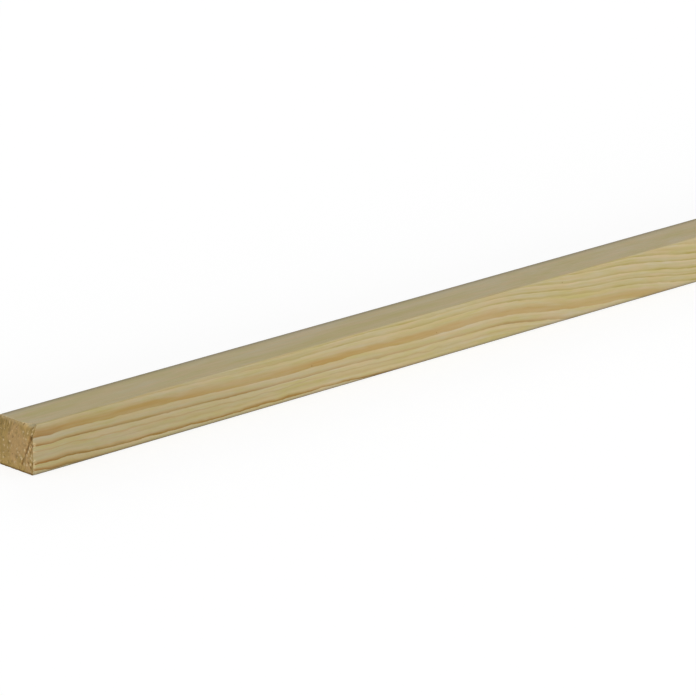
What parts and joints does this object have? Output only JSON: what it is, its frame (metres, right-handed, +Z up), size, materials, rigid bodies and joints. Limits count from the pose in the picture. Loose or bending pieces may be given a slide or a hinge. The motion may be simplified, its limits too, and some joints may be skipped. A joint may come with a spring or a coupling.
{
  "type": "square wood batten",
  "caption": "Straight length of planed softwood with a square section, eased long arrises and square-cut ends, for framing, fixing and trim.",
  "frame": {"origin": "middle of the long face that the batten lies on, half way along its length", "axes": "+X along the grain and the length, towards the far cut end; +Y to the back face; +Z up, from the face it lies on to the top face"},
  "size_m": [2.4, 0.027, 0.027],
  "materials": {
    "planed_pine": "planed, bare"
  },
  "bodies": {
    "root": {"batten": "planed_pine"}
  },
  "joints": []
}
